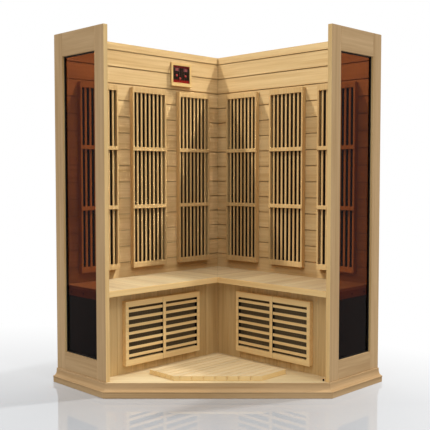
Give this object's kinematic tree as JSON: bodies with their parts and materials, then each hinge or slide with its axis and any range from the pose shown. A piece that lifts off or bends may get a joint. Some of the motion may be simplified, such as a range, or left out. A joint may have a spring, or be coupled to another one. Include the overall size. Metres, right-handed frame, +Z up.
{
  "type": "infrared sauna cabin",
  "caption": "Corner infrared sauna cabin with boarded back walls, glazed side panels, slatted wall and bench heaters, an L-shaped bench and a wall control unit, open at the front and top.",
  "frame": {"origin": "centre of the bounding box, on the floor under the base", "axes": "+Z up; -Y is the open front, +Y the rear corner; +X is to the right seen from the front"},
  "size_m": [1.82, 1.2334, 1.9],
  "materials": {
    "hemlock_panel": "oiled satin softwood",
    "hemlock_lining": "bare sanded softwood boards",
    "hemlock_trim": "bare sanded softwood",
    "bronze_glass": "bronze tint, polished",
    "gasket_rubber": "matt black",
    "blanking_board": "matt black board",
    "emitter": "matt black emitter sheet",
    "control_face": "gloss black with dark red bands",
    "button": "satin red",
    "latch_steel": "brushed"
  },
  "bodies": {
    "cabin": {"floor_platform": "hemlock_panel", "skirting_front": "hemlock_panel", "control_bezel": "hemlock_trim", "control_faceplate": "control_face", "skirting_left": "hemlock_panel", "left_wall_core": "hemlock_panel", "left_wall_lining": "hemlock_lining", "left_rear_stile": "hemlock_panel", "left_front_stile": "hemlock_panel", "left_top_rail": "hemlock_panel", "left_bottom_rail": "hemlock_panel", "left_window_gasket": "gasket_rubber", "left_window_glass": "bronze_glass", "left_blanking_panel": "blanking_board", "left_heater_1_grille": "hemlock_trim", "left_heater_1_emitter": "emitter", "left_heater_2_grille": "hemlock_trim", "left_heater_2_emitter": "emitter", "left_heater_3_grille": "hemlock_trim", "left_heater_3_emitter": "emitter", "left_bench_seat": "hemlock_lining", "left_bench_kick_panel": "hemlock_lining", "left_bench_fascia": "hemlock_trim", "left_bench_frame": "hemlock_panel", "left_bench_heater_grille": "hemlock_trim", "left_bench_heater_emitter": "emitter", "left_latch_base": "latch_steel", "left_latch_keeper": "latch_steel", "skirting_right": "hemlock_panel", "right_wall_core": "hemlock_panel", "right_wall_lining": "hemlock_lining", "right_rear_stile": "hemlock_panel", "right_front_stile": "hemlock_panel", "right_top_rail": "hemlock_panel", "right_bottom_rail": "hemlock_panel", "right_window_gasket": "gasket_rubber", "right_window_glass": "bronze_glass", "right_blanking_panel": "blanking_board", "right_heater_1_grille": "hemlock_trim", "right_heater_1_emitter": "emitter", "right_heater_2_grille": "hemlock_trim", "right_heater_2_emitter": "emitter", "right_heater_3_grille": "hemlock_trim", "right_heater_3_emitter": "emitter", "right_bench_seat": "hemlock_lining", "right_bench_kick_panel": "hemlock_lining", "right_bench_fascia": "hemlock_trim", "right_bench_frame": "hemlock_panel", "right_bench_heater_grille": "hemlock_trim", "right_bench_heater_emitter": "emitter", "right_latch_base": "latch_steel", "right_latch_keeper": "latch_steel"},
    "duckboard": {"duckboard": "hemlock_trim"},
    "left_latch_lever": {"left_latch_lever": "latch_steel"},
    "left_latch_bail": {"left_latch_bail": "latch_steel"},
    "right_latch_lever": {"right_latch_lever": "latch_steel"},
    "right_latch_bail": {"right_latch_bail": "latch_steel"},
    "heat_button": {"heat_button": "button"},
    "timer_button": {"timer_button": "button"},
    "power_button": {"power_button": "button"}
  },
  "joints": [
    {"name": "duckboard_lift", "type": "slide", "parent": "cabin", "child": "duckboard", "axis": [0, 0, 1], "range_m": [0, 0.45]},
    {"name": "left_latch_throw", "type": "hinge", "parent": "cabin", "child": "left_latch_lever", "pos_m": [-0.86126, -0.23178, 1.05], "axis": [0, 0, 1], "range_deg": [0, 100]},
    {"name": "left_latch_bail_pivot", "type": "hinge", "parent": "left_latch_lever", "child": "left_latch_bail", "pos_m": [-0.85277, -0.22329, 1.05], "axis": [0, 0, 1], "range_deg": [-100, 0]},
    {"name": "right_latch_throw", "type": "hinge", "parent": "cabin", "child": "right_latch_lever", "pos_m": [0.86126, -0.23178, 1.05], "axis": [0, 0, -1], "range_deg": [0, 100]},
    {"name": "right_latch_bail_pivot", "type": "hinge", "parent": "right_latch_lever", "child": "right_latch_bail", "pos_m": [0.85277, -0.22329, 1.05], "axis": [0, 0, -1], "range_deg": [-100, 0]},
    {"name": "heat_press", "type": "slide", "parent": "cabin", "child": "heat_button", "axis": [-0.7071, 0.7071, 0], "range_m": [0, 0.0015], "stiffness_N_per_m": 250},
    {"name": "timer_press", "type": "slide", "parent": "cabin", "child": "timer_button", "axis": [-0.7071, 0.7071, 0], "range_m": [0, 0.0015], "stiffness_N_per_m": 250},
    {"name": "power_press", "type": "slide", "parent": "cabin", "child": "power_button", "axis": [-0.7071, 0.7071, 0], "range_m": [0, 0.0015], "stiffness_N_per_m": 250}
  ],
  "couplings": [
    {"joint": "left_latch_bail_pivot", "follows": "left_latch_throw", "ratio": -1},
    {"joint": "right_latch_bail_pivot", "follows": "right_latch_throw", "ratio": -1}
  ]
}
